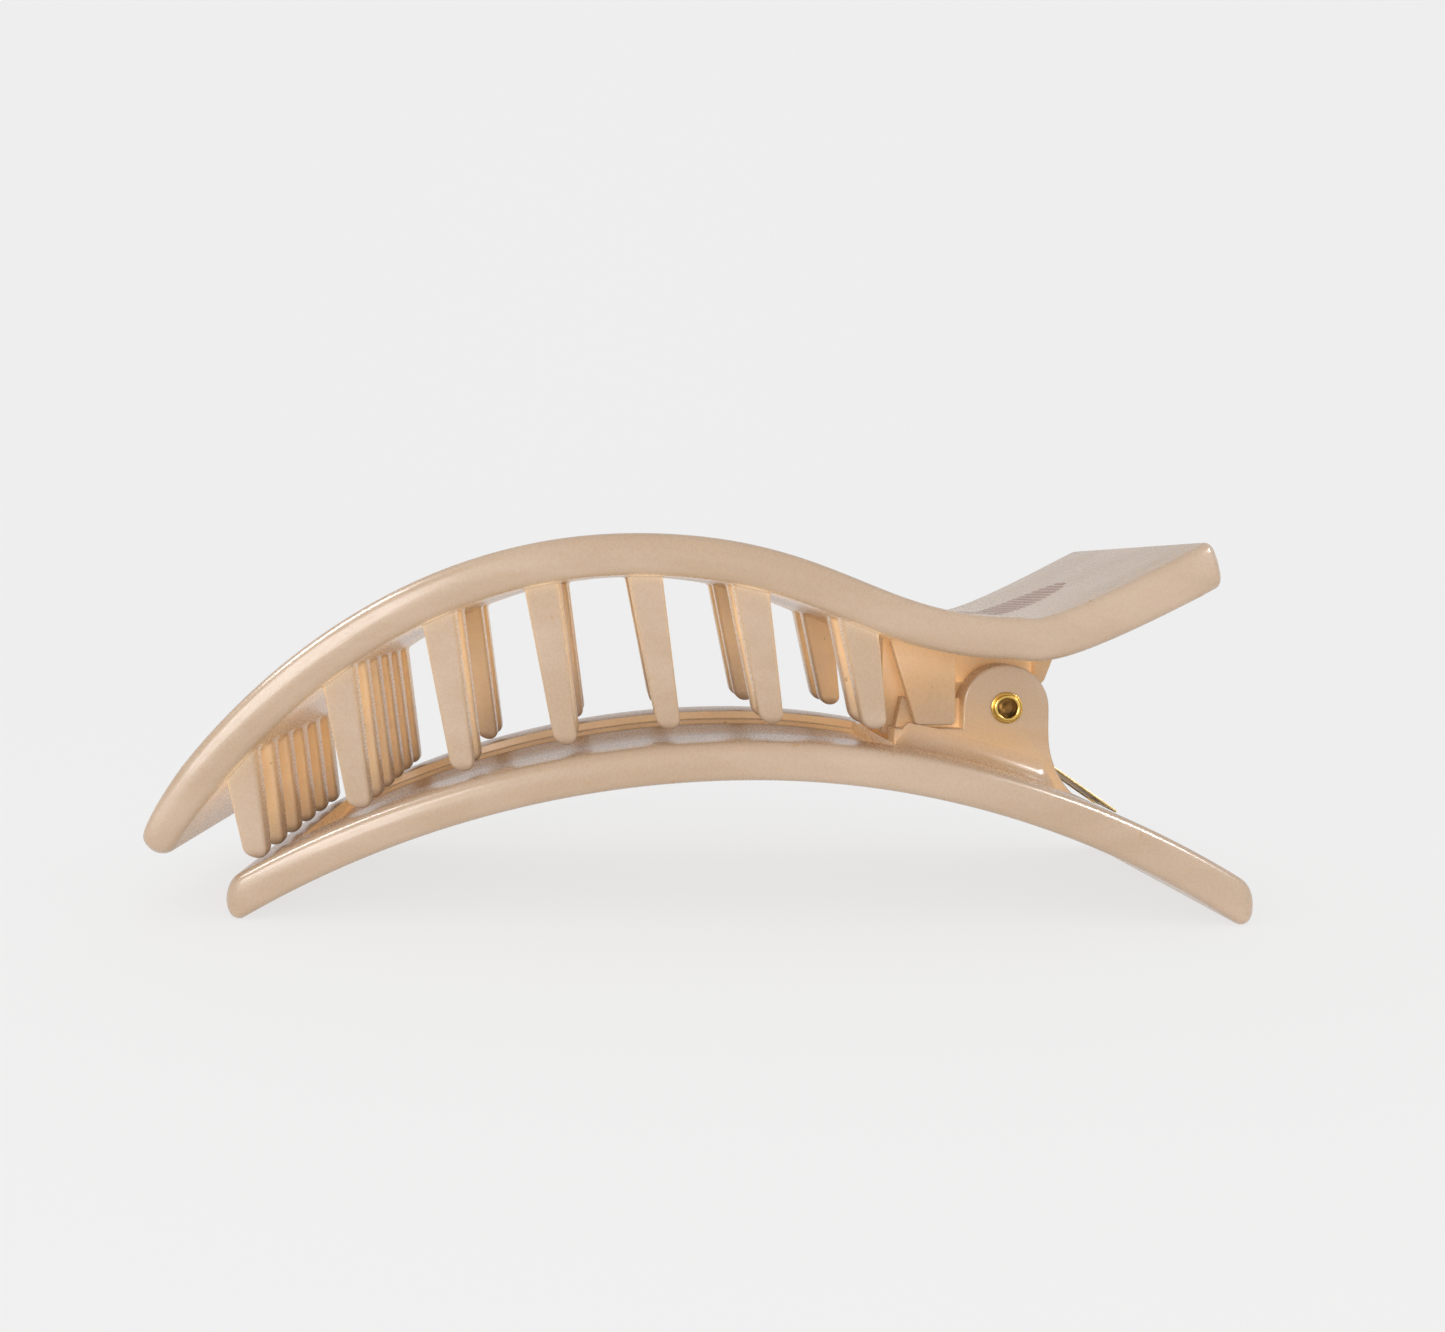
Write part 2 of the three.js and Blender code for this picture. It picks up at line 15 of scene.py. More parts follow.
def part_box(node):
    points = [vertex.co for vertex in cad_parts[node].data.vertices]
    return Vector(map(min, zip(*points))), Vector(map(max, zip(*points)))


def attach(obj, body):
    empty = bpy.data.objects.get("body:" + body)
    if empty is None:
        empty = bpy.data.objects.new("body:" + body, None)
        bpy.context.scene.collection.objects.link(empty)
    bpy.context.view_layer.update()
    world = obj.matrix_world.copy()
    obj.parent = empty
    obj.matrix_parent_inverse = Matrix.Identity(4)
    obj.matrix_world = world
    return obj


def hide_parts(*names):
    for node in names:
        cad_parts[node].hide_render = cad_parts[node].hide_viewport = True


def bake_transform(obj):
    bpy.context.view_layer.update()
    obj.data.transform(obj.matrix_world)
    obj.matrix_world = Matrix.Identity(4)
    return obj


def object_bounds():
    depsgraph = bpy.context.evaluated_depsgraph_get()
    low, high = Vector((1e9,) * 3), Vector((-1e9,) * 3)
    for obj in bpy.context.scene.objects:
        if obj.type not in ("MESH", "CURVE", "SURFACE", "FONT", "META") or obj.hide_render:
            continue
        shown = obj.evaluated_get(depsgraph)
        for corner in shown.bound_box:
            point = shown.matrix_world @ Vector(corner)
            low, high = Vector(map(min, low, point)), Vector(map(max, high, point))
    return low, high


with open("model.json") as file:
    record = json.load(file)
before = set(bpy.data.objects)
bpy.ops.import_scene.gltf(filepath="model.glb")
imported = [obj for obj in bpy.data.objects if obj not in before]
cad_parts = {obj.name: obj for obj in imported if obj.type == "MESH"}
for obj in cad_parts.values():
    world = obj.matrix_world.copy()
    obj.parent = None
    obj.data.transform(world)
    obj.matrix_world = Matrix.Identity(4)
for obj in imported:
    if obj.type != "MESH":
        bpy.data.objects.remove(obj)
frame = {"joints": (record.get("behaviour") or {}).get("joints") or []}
CAD_LOW, CAD_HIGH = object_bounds()

MM = 0.001

# ---- Sizes from the frame ----

LOWER_LOW, LOWER_HIGH = (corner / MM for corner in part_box("lower_jaw"))
RIVET_LOW, RIVET_HIGH = (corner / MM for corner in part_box("hinge_rivet"))
SPRING_HALF_WIDTH = (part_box("flat_spring")[1] / MM).y
PIN_X, _, PIN_Z = (value / MM for value in frame["joints"][0]["pos_m"])

HALF_WIDTH = LOWER_HIGH.y
LENGTH = (CAD_HIGH.x - CAD_LOW.x) / MM

# ---- Plates ----

EDGE_ROUND = 1.15
CORNER_ROUND = 2.2
SIDE_CROWN = 0.12
EDGE_POINTS = 7
FLAT_SHARES = (-0.6, -0.2, 0.2, 0.6)
PLAN_CORNER_STEPS = 9

LOWER_TIP_X = LOWER_LOW.x
LOWER_HEEL_X = LOWER_HIGH.x
LOWER_TOP_CREST = (6.5, 18.8)
LOWER_TOP_RADII = (112, 96)
LOWER_ARCH_CREST = (6.5, 14.7)
LOWER_END_ROUND = 1.5
LOWER_STEPS = 90

CHANNEL_X = (-43, 21.8)
CHANNEL_STEPS = ((11, 0.9), (9.5, 1.4))
CHANNEL_RAMP = 0.5
CHANNEL_WALL_LEAN = 0.06
CHANNEL_EDGE_ROUND = 0.14
CHANNEL_EDGE_BEVEL = 0.3 * CHANNEL_EDGE_ROUND

UPPER_HALF = 2.2
UPPER_HEEL_HALF = 2.4
UPPER_TIP_HALF = 1.8
UPPER_TIP = (UPPER_TIP_HALF - LENGTH / 2, 8.3)
UPPER_TIP_ANGLE = 68
UPPER_CREST = (-6.4, 38.2)
UPPER_TROUGH = (32.4, 29.7)
UPPER_HEEL = (52.6, 37.1)
UPPER_HEEL_ANGLE = 28
TIP_PULL = 4
CREST_PULLS = (31, 20)
TROUGH_PULLS = (15, 3)
HEEL_PULL = 20
RISE_STEPS = 44
FALL_STEPS = 34
HANDLE_STEPS = 28
UPPER_THINNED_SHARE = 0.25
UPPER_HEEL_BLUNT = 1.2
UPPER_HEEL_STEPS = 8
UPPER_TIP_LEAST_HALF = 0.12
UPPER_HEEL_OVERHANG = 0.9
OVERHANG_RUN = 6

# ---- Teeth ----

TOOTH_ROWS = 7
TOOTH_COLUMNS = 6
FULL_ROWS = 2
FIRST_TOOTH_X = -46.4
TOOTH_PITCH_X = 10.82
TOOTH_INSET_Y = 2.8
TOOTH_LEAN = 9.4
TOOTH_ROOT_HALF = (1.8, 1.45)
TOOTH_TIP_HALF = (1.22, 1.05)
TOOTH_CORNER_ROUND = 0.42
TOOTH_FILLET = 0.3
TOOTH_SUNK = 0.4
TOOTH_CORNER_STEPS = 4
TOOTH_DOME_STEPS = 6
TOOTH_STRAIGHT_STEPS = 3
TOOTH_FILLET_STEPS = 3
ROOT_SEARCH_STEPS = 12
FIRST_TOOTH_GAP = 0.4
TOOTH_GAP_GROWTH = 0.24

# ---- Hinge: distances from the middle of the clip, then shapes in the side view ----

EAR_Y = (5.8, 8.8)
CHEEK_Y = (7.4, 8.7)
FENCE_Y = (5.8, 7.1)
LUG_Y = (3.9, 5.5)
POCKET_FLOOR_Y = 4.6
HINGE_FROM_X = 22.2
SUNK = 1.5
EAR_RADIUS = 4.8
EAR_FOOT = 2.8
EAR_STEPS = 40
EAR_FOOT_STEPS = 10
SHOULDER_Z = 19.2
FENCE_TOP_Z = 22.5
FENCE_SLOPE = 1.2
CHEEK_BOTTOM_Z = 19.55
CHEEK_LEAN = 3.4
CHEEK_TO_EAR = 0.8
CHEEK_CORNER = 0.7
CHEEK_CORNER_STEPS = 5
LUG_RADIUS = 4.2
LUG_ARC = (1.42 * math.pi, 2.1 * math.pi)
LUG_STEPS = 24
LUG_FROM_X = HINGE_FROM_X - CHEEK_LEAN / 6
LUG_FRONT_Z = SHOULDER_Z - 1
LUG_BACK = (PIN_X + 5.5, PIN_Z + 2.8)
LUG_TOP_X = PIN_X + 8.6
POCKET_X = (PIN_X - 5.4, PIN_X + 4.3)
POCKET_RISE = 2.6
EAR_EDGE_ROUND = 0.3
CHEEK_EDGE_ROUND = 0.22
FENCE_EDGE_ROUND = 0.2
LUG_EDGE_ROUND = 0.15
PANEL_EDGE_SEGMENTS = 3
FOOT_FILLET = 2.6
FOOT_X = (HINGE_FROM_X + 0.2, PIN_X + EAR_RADIUS + 0.6)
FOOT_STEPS = 36
FOOT_END_STEPS = 3
FOOT_END_SHARE = 0.15
FOOT_POINTS = 7
FOOT_SUNK = 0.02
FOOT_ROOT = 0.5

# The place of the hinge's plastic among each jaw's materials.
HINGE_MATERIAL = 1

# ---- Rivet and spring ----

RIVET_BORE_RADIUS = 1.08
RIVET_SHANK_RADIUS = 1.3
RIVET_FLANGE_RADIUS = (RIVET_HIGH.x - RIVET_LOW.x) / 2
RIVET_FLANGE = 0.24
RIVET_SEAT_GAP = 0.02
RIVET_LIP = 0.2
RIVET_GROOVE = 0.08
RIVET_SEGMENTS = 72
RIVET_LIP_STEPS = 10
RIVET_FLANGE_STEPS = 8

# The bore's crimped bottom: shares of its radius, with how far each stands off the ear.
RIVET_CRIMP = ((0.02, 0.01), (0.3, 0.02), (0.42, 0.1), (0.55, 0.13), (0.68, 0.04), (1.0, 0.01))

SPRING_THICKNESS = 0.3
SPRING_EDGE_BEVEL = 0.1
SPRING_BEND_STEPS = 48
SPRING_BEND_RADIUS = 1.9
SPRING_LOWER_CONTACT_X = 49.5
SPRING_UPPER_CONTACT_X = 44
SPRING_REST_GAP = 0.18

# ---- Grip patch on the upper handle ----

PATCH_X = 36.8
PATCH_HALF = (7.6, 4.8)
RIBS = 23
RIB_HALF = 0.2
RIB_HEIGHT = 0.14
RIB_SUNK = 0.2
RIB_STEPS = 12
RIB_ARC_STEPS = 6
RIB_END_SHARE = 0.25

# ---- Colours, as linear light ----

BLACK = (0.0, 0.0, 0.0)
CREAM = (0.422, 0.304, 0.209)
CREAM_PAINTED_SHELTER_WARMTH = (0.54, 0.32, 0.145)
CREAM_PAINTED_RECESS_GLOW = (0.95, 0.69, 0.42)
CREAM_CLOUD = (0.57, 0.435, 0.345)
CREAM_STREAK = (0.88, 0.82, 0.76)
CREAM_SPECK = (0.42, 0.25, 0.13)
ROSE = (0.30, 0.183, 0.134)
ROSE_CLOUD = (0.383, 0.26, 0.21)
RIVET_GOLD = (0.80, 0.55, 0.16)
SPRING_GOLD = (0.86, 0.66, 0.34)
# The bore's dark browns are painted shade, standing in for the depth of the hole.
BORE_PAINTED_SHADE = (0.055, 0.028, 0.008)
BORE_PAINTED_SHADE_PALE = (0.33, 0.17, 0.04)

# Painted glow: light emitted in the recesses, standing in for the light that the translucent plastic
# carries into them.
PAINTED_GLOW = (0.14, 0.098, 0.046)
SUBSURFACE_REACH = (1.0, 0.5, 0.25)
SHEEN_TINT = (1.0, 0.84, 0.82, 1)

# Each tone with how open the surface is round it, from 0 in a deep recess to 1 in the open. The lighter,
# warmer tones in the recesses are painted light, standing in for light that the translucent plastic
# carries in.
# The grip patch keeps one tone.
PAINTED_RECESS_TONES = ((0.55, CREAM_PAINTED_RECESS_GLOW), (0.93, CREAM))
HINGE_PAINTED_RECESS_TONES = ((0.25, CREAM_PAINTED_RECESS_GLOW), (0.55, CREAM_PAINTED_SHELTER_WARMTH), (0.9, CREAM))
ROSE_TONES = ((0.3, ROSE), (0.9, ROSE))
PAINTED_GLOW_TONES = ((0.2, PAINTED_GLOW), (0.9, BLACK))
RECESS_REACH = 0.02

# How much of each marking shows in the plastic.
CLOUD_SHARE = 0.36
STREAK_SHARE = 0.08
SPECK_SHARE = 0.6

# Grains in a metre along X, Y and Z.
CLOUD_GRAINS = (45, 130, 130)
STREAK_GRAINS = (160, 900, 900)
SPECK_GRAINS = (1000, 1000, 1000)
GLINT_GRAINS = (4200, 4200, 4200)
RIPPLE_GRAINS = (200, 300, 300)
GOLD_GRAINS = (700, 700, 700)
BORE_GRAINS = (900, 1500, 900)
RIVET_LINES = (300, 4000, 300)
SPRING_LINES = (400, 6000, 400)

# ---- Studio and camera ----

# The paper and the camera are in millimetres. The lamps are in metres and watts.
PAPER_TONE = 0.855
PAPER_GLOW = 0.69
PAPER_SHADED = 0.185
PAPER_FRONT_Y = -1500
PAPER_BACK_Y = 900
PAPER_BEND = 500
PAPER_TOP_Z = 3000
PAPER_HALF_WIDTH = 4000
PAPER_BEND_STEPS = 24

CAMERA_DISTANCE = 115.9
CAMERA_X = -9.28
CAMERA_Z = 35.05
CAMERA_ROLL = 0.35
CAMERA_NEAREST = 10
FOCAL_LENGTH = 28.0
SENSOR_WIDTH = 36
SHIFT = (0.0765, -0.0567)

# ---- Small tools ----


def lerp(a, b, share):
    return a + (b - a) * share


def direction(degrees, length):
    """A step of the given length in the side view, at an angle up from +X."""
    angle = math.radians(degrees)
    return Vector((length * math.cos(angle), length * math.sin(angle)))


def arc(centre, radius, from_angle, to_angle, steps):
    """Points in the side view on a circle round centre. Angles are in radians."""
    points = []
    for i in range(steps + 1):
        angle = lerp(from_angle, to_angle, i / steps)
        points.append((centre[0] + radius * math.cos(angle), centre[1] + radius * math.sin(angle)))
    return points


def finish_mesh(bm, name, materials, sharp_degrees=35):
    """The bmesh, built in millimetres, as an object in metres with smooth shading."""
    bmesh.ops.remove_doubles(bm, verts=bm.verts, dist=1e-5)
    bmesh.ops.recalc_face_normals(bm, faces=bm.faces)
    bm.transform(Matrix.Scale(MM, 4))
    mesh = bpy.data.meshes.new(name)
    bm.to_mesh(mesh)
    bm.free()
    for polygon in mesh.polygons:
        polygon.use_smooth = True
    mesh.set_sharp_from_angle(angle=math.radians(sharp_degrees))
    for material in materials:
        mesh.materials.append(material)
    piece = bpy.data.objects.new(name, mesh)
    bpy.context.scene.collection.objects.link(piece)
    return piece


def loft(bm, rings, material_index=0):
    """Joins rings of the same length by quads and closes both ends."""
    made = [[bm.verts.new(point) for point in ring] for ring in rings]
    count = len(made[0])
    faces = [bm.faces.new(made[0]), bm.faces.new(list(reversed(made[-1])))]
    for before, after in zip(made, made[1:]):
        for i in range(count):
            j = (i + 1) % count
            faces.append(bm.faces.new((before[i], before[j], after[j], after[i])))
    for face in faces:
        face.material_index = material_index


# ---- Curves of the two plates ----


def lower_top(x):
    """The height of the lower jaw's top beside its channel."""
    run = x - LOWER_TOP_CREST[0]
    radius = LOWER_TOP_RADII[0] if run < 0 else LOWER_TOP_RADII[1]
    return LOWER_TOP_CREST[1] - radius + math.sqrt(radius**2 - run**2)


def arch_radius(end_run):
    """The radius of the underside's arc to an end whose round foot touches the floor."""
    run = end_run - LOWER_END_ROUND
    rise = LOWER_ARCH_CREST[1] - LOWER_END_ROUND
    return (run**2 + rise**2 - LOWER_END_ROUND**2) / (2 * (rise + LOWER_END_ROUND))


def lower_under(x):
    """The height of the lower jaw's arched underside."""
    run = x - LOWER_ARCH_CREST[0]
    end = LOWER_TIP_X if run < 0 else LOWER_HEEL_X
    radius = arch_radius(abs(end - LOWER_ARCH_CREST[0]))
    return LOWER_ARCH_CREST[1] - radius + math.sqrt(radius**2 - run**2)


def bezier(points, steps):
    """Places and directions along a cubic curve."""
    a, b, c, d = (Vector(point) for point in points)
    found = []
    for i in range(steps + 1):
        t = i / steps
        u = 1 - t
        place = a * u**3 + b * 3 * u * u * t + c * 3 * u * t * t + d * t**3
        slope = (b - a) * u * u + (c - b) * 2 * u * t + (d - c) * t * t
        found.append((place, slope.normalized()))
    return found


def upper_line():
    """The upper plate's centre line: (place, direction, half thickness) at each station."""
    tip, crest, trough, heel = (Vector(p) for p in (UPPER_TIP, UPPER_CREST, UPPER_TROUGH, UPPER_HEEL))
    before_crest, after_crest = (Vector((pull, 0)) for pull in CREST_PULLS)
    before_trough, after_trough = (Vector((pull, 0)) for pull in TROUGH_PULLS)
    off_tip = direction(UPPER_TIP_ANGLE, TIP_PULL)
    into_heel = direction(UPPER_HEEL_ANGLE, HEEL_PULL)
    rise = bezier((tip, tip + off_tip, crest - before_crest, crest), RISE_STEPS)
    fall = bezier((crest, crest + after_crest, trough - before_trough, trough), FALL_STEPS)
    handle = bezier((trough, trough + after_trough, heel - into_heel, heel), HANDLE_STEPS)
    stations = []
    for part, curve in enumerate((rise, fall, handle)):
        for i, (place, slope) in enumerate(curve):
            if part and i == 0:
                continue
            share = i / (len(curve) - 1)
            half = UPPER_HALF
            if part == 0:
                half = lerp(UPPER_TIP_HALF, UPPER_HALF, min(share / UPPER_THINNED_SHARE, 1))
            if part == 2:
                half = lerp(UPPER_HALF, UPPER_HEEL_HALF, share)
            stations.append((place, slope, half))
    return stations


UPPER_LINE = upper_line()


def upper_z(x, side=0):
    """The height of the plate's centre line, or of its faces when side is 1 or -1."""
    line = [place + Vector((-slope.y, slope.x)) * half * side for place, slope, half in UPPER_LINE]
    for a, b in zip(line, line[1:]):
        if a.x <= x < b.x:
            return lerp(a.y, b.y, (x - a.x) / (b.x - a.x))
    return line[-1].y


# ---- Plates ----


def section(place, slope, below, above, half_width, channel=0.0, overhang=0.0):
    """One cross-section of a plate: a rounded rectangle, with the channel sunk into its top.

    With an overhang the top reaches further along the plate than the underside does.
    """
    normal = Vector((-slope.y, slope.x))
    edge = min(EDGE_ROUND, 0.49 * (above + below), 0.9 * half_width)
    outline = []

    def corner(y_sign, n_sign, from_degrees, to_degrees):
        centre_y = y_sign * (half_width - edge)
        centre_n = n_sign * ((above if n_sign > 0 else below) - edge)
        for i in range(EDGE_POINTS):
            turn = math.radians(lerp(from_degrees, to_degrees, i / (EDGE_POINTS - 1)))
            outline.append((centre_y + edge * math.cos(turn), centre_n + edge * math.sin(turn)))

    def side(y_sign):
        middle = (above - below) / 2
        flat = (above + below) / 2 - edge
        for share in FLAT_SHARES:
            bulge = SIDE_CROWN * (1 - share**2) * min(1, flat)
            outline.append((y_sign * (half_width + bulge), middle + y_sign * share * flat))

    side(1)
    corner(1, 1, 0, 90)
    outline.extend(top_profile(above, half_width, channel))
    corner(-1, 1, 90, 180)
    side(-1)
    corner(-1, -1, 180, 270)
    for share in FLAT_SHARES:
        outline.append((share * (half_width - edge), -below))
    corner(1, -1, 270, 360)
    points = []
    for y, n in outline:
        at = place + normal * n + slope * overhang * (n + below) / (above + below)
        points.append((at.x, y, at.y))
    return points


def top_profile(above, half_width, channel):
    """The top of a section from +Y to -Y, with soft edges on each step of the channel."""
    edge, bevel = CHANNEL_EDGE_ROUND, CHANNEL_EDGE_BEVEL
    half = []
    depth = 0.0
    for step_half, step_depth in CHANNEL_STEPS:
        outer = step_half + CHANNEL_WALL_LEAN
        inner = step_half - CHANNEL_WALL_LEAN
        half += [(outer + edge, depth), (outer + bevel, depth + bevel)]
        half += [(inner - bevel, step_depth - bevel), (inner - edge, step_depth)]
        depth = step_depth
    half.append((CHANNEL_STEPS[-1][0] / 2, depth))
    shrink = min(1.0, (half_width - EDGE_ROUND) / (HALF_WIDTH - EDGE_ROUND))
    profile = [(y * shrink, above - drop * channel) for y, drop in half]
    return profile + [(-y, n) for y, n in reversed(profile)]


def end_share(distance, size):
    """How much of a round end's height is there, at a distance from its outermost point."""
    if distance >= size:
        return 1.0
    return math.sqrt(max(0.0, 1 - (1 - distance / size) ** 2))


def plan_half_width(distance):
    """Half the plate's width at a distance from its end, with the corners rounded in plan."""
    return HALF_WIDTH - SIDE_CROWN - CORNER_ROUND * (1 - end_share(distance, CORNER_ROUND))


def near_end_steps(size, count):
    """Distances from an end, closer together where it curves most."""
    return [size * (1 - math.cos(math.pi / 2 * i / count)) for i in range(count + 1)]


def lower_stations():
    """Where the lower plate's sections stand: closer at its ends and at the channel's ends."""
    ends = near_end_steps(CORNER_ROUND, PLAN_CORNER_STEPS)
    middle_from = LOWER_TIP_X + CORNER_ROUND
    middle_to = LOWER_HEEL_X - CORNER_ROUND
    xs = [LOWER_TIP_X + d for d in ends]
    xs += [lerp(middle_from, middle_to, i / LOWER_STEPS) for i in range(1, LOWER_STEPS)]
    xs += [LOWER_HEEL_X - d for d in reversed(ends)]
    for x in CHANNEL_X:
        xs += [x + CHANNEL_RAMP * share for share in (-1, -0.5, 0, 0.5, 1)]
    return sorted(xs)


def channel_share(x):
    """How much of the channel's depth is there: 0 outside it, 1 inside, and a soft step between."""
    inside = min(x - CHANNEL_X[0], CHANNEL_X[1] - x) / CHANNEL_RAMP + 0.5
    share = min(max(inside, 0.0), 1.0)
    return share * share * (3 - 2 * share)


def lower_plate(bm):
    """The arched plate that runs from the tip to the lower handle."""
    rings = []
    for x in lower_stations():
        distance = min(x - LOWER_TIP_X, LOWER_HEEL_X - x)
        sink = LOWER_END_ROUND * (1 - end_share(distance, LOWER_END_ROUND))
        top = lower_top(x) - sink
        under = max(lower_under(x), 0) + sink
        if distance < LOWER_END_ROUND:
            under = sink
        middle = (top + under) / 2
        half = (top - under) / 2
        rings.append(section(
            Vector((x, middle)), Vector((1, 0)), half, half, plan_half_width(distance), channel_share(x),
        ))
    loft(bm, rings)


def upper_plate(bm):
    """The S-curved plate: a round tip, its stations, and a blunt heel."""
    rings = []
    tip_place, tip_slope, tip_half = UPPER_LINE[0]
    for d in near_end_steps(tip_half, PLAN_CORNER_STEPS)[:-1]:
        half = max(tip_half * end_share(d, tip_half), UPPER_TIP_LEAST_HALF)
        place = tip_place - tip_slope * (tip_half - d)
        rings.append(section(place, tip_slope, half, half, plan_half_width(d)))
    travelled = tip_half
    total = sum((b[0] - a[0]).length for a, b in zip(UPPER_LINE, UPPER_LINE[1:]))
    before = UPPER_LINE[0][0]
    for place, slope, half in UPPER_LINE:
        travelled += (place - before).length
        before = place
        to_heel = total + tip_half + UPPER_HEEL_BLUNT - travelled
        overhang = UPPER_HEEL_OVERHANG * max(0, 1 - (to_heel - UPPER_HEEL_BLUNT) / OVERHANG_RUN)
        half_width = plan_half_width(min(travelled, to_heel))
        rings.append(section(place, slope, half, half, half_width, overhang=overhang))
    heel_place, heel_slope, heel_half = UPPER_LINE[-1]
    for d in reversed(near_end_steps(UPPER_HEEL_BLUNT, UPPER_HEEL_STEPS)[:-1]):
        half = heel_half - UPPER_HEEL_BLUNT * (1 - end_share(d, UPPER_HEEL_BLUNT))
        place = heel_place + heel_slope * (UPPER_HEEL_BLUNT - d)
        half_width = plan_half_width(d)
        rings.append(section(place, heel_slope, half, half, half_width, overhang=UPPER_HEEL_OVERHANG))
    loft(bm, rings)


# ---- Teeth ----


def tooth_section(half_x, half_y):
    """The offsets of a rounded rectangle's outline from its middle, anticlockwise."""
    corner = min(TOOTH_CORNER_ROUND, half_x, half_y)
    outline = []
    for quarter, (x_sign, y_sign) in enumerate(((1, 1), (-1, 1), (-1, -1), (1, -1))):
        centre = (x_sign * (half_x - corner), y_sign * (half_y - corner))
        from_angle = quarter * math.pi / 2
        outline += arc(centre, corner, from_angle, from_angle + math.pi / 2, TOOTH_CORNER_STEPS)
    return outline


def tooth(bm, tip_x, tip_z, y):
    """One tooth, from a domed tip up to a fillet that meets the plate's underside."""
    lean = math.tan(math.radians(TOOTH_LEAN))
    full = upper_z(tip_x, -1) - tip_z
    dome = TOOTH_TIP_HALF[0]

    def ring(heights, grow=0.0, shrink=1.0):
        """The tooth's outline, with one height for each of its points."""
        share = min(sum(heights) / len(heights) / full, 1)
        half_x = shrink * lerp(TOOTH_TIP_HALF[0], TOOTH_ROOT_HALF[0], share) + grow
        half_y = shrink * lerp(TOOTH_TIP_HALF[1], TOOTH_ROOT_HALF[1], share) + grow
        points = []
        for (across, along), height in zip(tooth_section(half_x, half_y), heights):
            points.append(Vector((tip_x - height * lean + across, y + along, tip_z + height)))
        return points

    def root(grow):
        """The height of the plate's underside over each point of the outline."""
        heights = [full] * count
        for _ in range(ROOT_SEARCH_STEPS):
            heights = [upper_z(point.x, -1) - tip_z for point in ring(heights, grow)]
        return heights

    count = len(tooth_section(*TOOTH_TIP_HALF))
    rings = []
    for step in range(1, TOOTH_DOME_STEPS + 1):
        turn = math.pi / 2 * step / TOOTH_DOME_STEPS
        rings.append(ring([dome * (1 - math.cos(turn))] * count, shrink=math.sin(turn)))
    straight_to = [height - TOOTH_FILLET for height in root(0)]
    for step in range(1, TOOTH_STRAIGHT_STEPS + 1):
        rings.append(ring([lerp(dome, top, step / TOOTH_STRAIGHT_STEPS) for top in straight_to]))
    for step in range(1, TOOTH_FILLET_STEPS + 1):
        turn = math.pi / 2 * step / TOOTH_FILLET_STEPS
        grow = TOOTH_FILLET * (1 - math.cos(turn))
        heights = [lerp(low, high, math.sin(turn)) for low, high in zip(straight_to, root(grow))]
        rings.append(ring(heights, grow))
    rings.append([point + Vector((0, 0, TOOTH_SUNK)) for point in rings[-1]])
    loft(bm, rings)


def teeth(bm):
    span = 2 * (HALF_WIDTH - TOOTH_INSET_Y)
    for row in range(TOOTH_ROWS):
        x = FIRST_TOOTH_X + row * TOOTH_PITCH_X
        z = lower_top(x) + FIRST_TOOTH_GAP + row * TOOTH_GAP_GROWTH
        for column in range(TOOTH_COLUMNS):
            is_middle = column in (TOOTH_COLUMNS // 2 - 1, TOOTH_COLUMNS // 2)
            if row < FULL_ROWS or not is_middle:
                tooth(bm, x, z, span * (column / (TOOTH_COLUMNS - 1) - 0.5))


# ---- Panels of the hinge ----


def panel(bm, outline, y_from, y_to, edge_round):
    """A flat panel on both sides of the clip, with its outline's edges rounded."""
    for sign in (1, -1):
        part = bmesh.new()
        verts = [part.verts.new((x, sign * y_from, z)) for x, z in outline]
        face = part.faces.new(verts)
        made = bmesh.ops.extrude_face_region(part, geom=[face])
        moved = [v for v in made["geom"] if isinstance(v, bmesh.types.BMVert)]
        bmesh.ops.translate(part, verts=moved, vec=(0, sign * (y_to - y_from), 0))
        bmesh.ops.recalc_face_normals(part, faces=part.faces)
        if edge_round > 0:
            rims = [e for e in part.edges if abs(e.verts[0].co.y - e.verts[1].co.y) < 1e-6]
            bmesh.ops.bevel(
                part, geom=rims, offset=edge_round, segments=PANEL_EDGE_SEGMENTS, profile=0.5,
                affect="EDGES", clamp_overlap=True,
            )
        for face in part.faces:
            face.material_index = HINGE_MATERIAL
        mesh = bpy.data.meshes.new("panel")
        part.to_mesh(mesh)
        part.free()
        bm.from_mesh(mesh)
        bpy.data.meshes.remove(mesh)


def quadratic(a, b, c, steps):
    """Points along a curve from a to c that is pulled towards b."""
    a, b, c = (Vector(p) for p in (a, b, c))
    points = []
    for i in range(steps + 1):
        t = i / steps
        points.append(tuple(a * (1 - t) ** 2 + b * 2 * t * (1 - t) + c * t * t))
    return points


def ear_outline():
    right = PIN_X + EAR_RADIUS
    foot_x = right + EAR_FOOT
    foot_z = lower_top(foot_x)
    outline = [(HINGE_FROM_X, lower_top(HINGE_FROM_X) - SUNK), (foot_x, foot_z - SUNK)]
    outline += quadratic(
        (foot_x, foot_z), (right, foot_z + EAR_FOOT), (right, PIN_Z - EAR_FOOT), EAR_FOOT_STEPS,
    )
    outline += arc((PIN_X, PIN_Z), EAR_RADIUS, 0, math.pi, EAR_STEPS)
    outline += [(PIN_X - EAR_RADIUS, SHOULDER_Z), (HINGE_FROM_X, SHOULDER_Z)]
    return outline


def fence_outline():
    bottom = SHOULDER_Z - 2 * SUNK
    return [
        (HINGE_FROM_X, bottom),
        (PIN_X, bottom),
        (PIN_X - FENCE_SLOPE, FENCE_TOP_Z),
        (HINGE_FROM_X + FENCE_SLOPE, FENCE_TOP_Z),
    ]


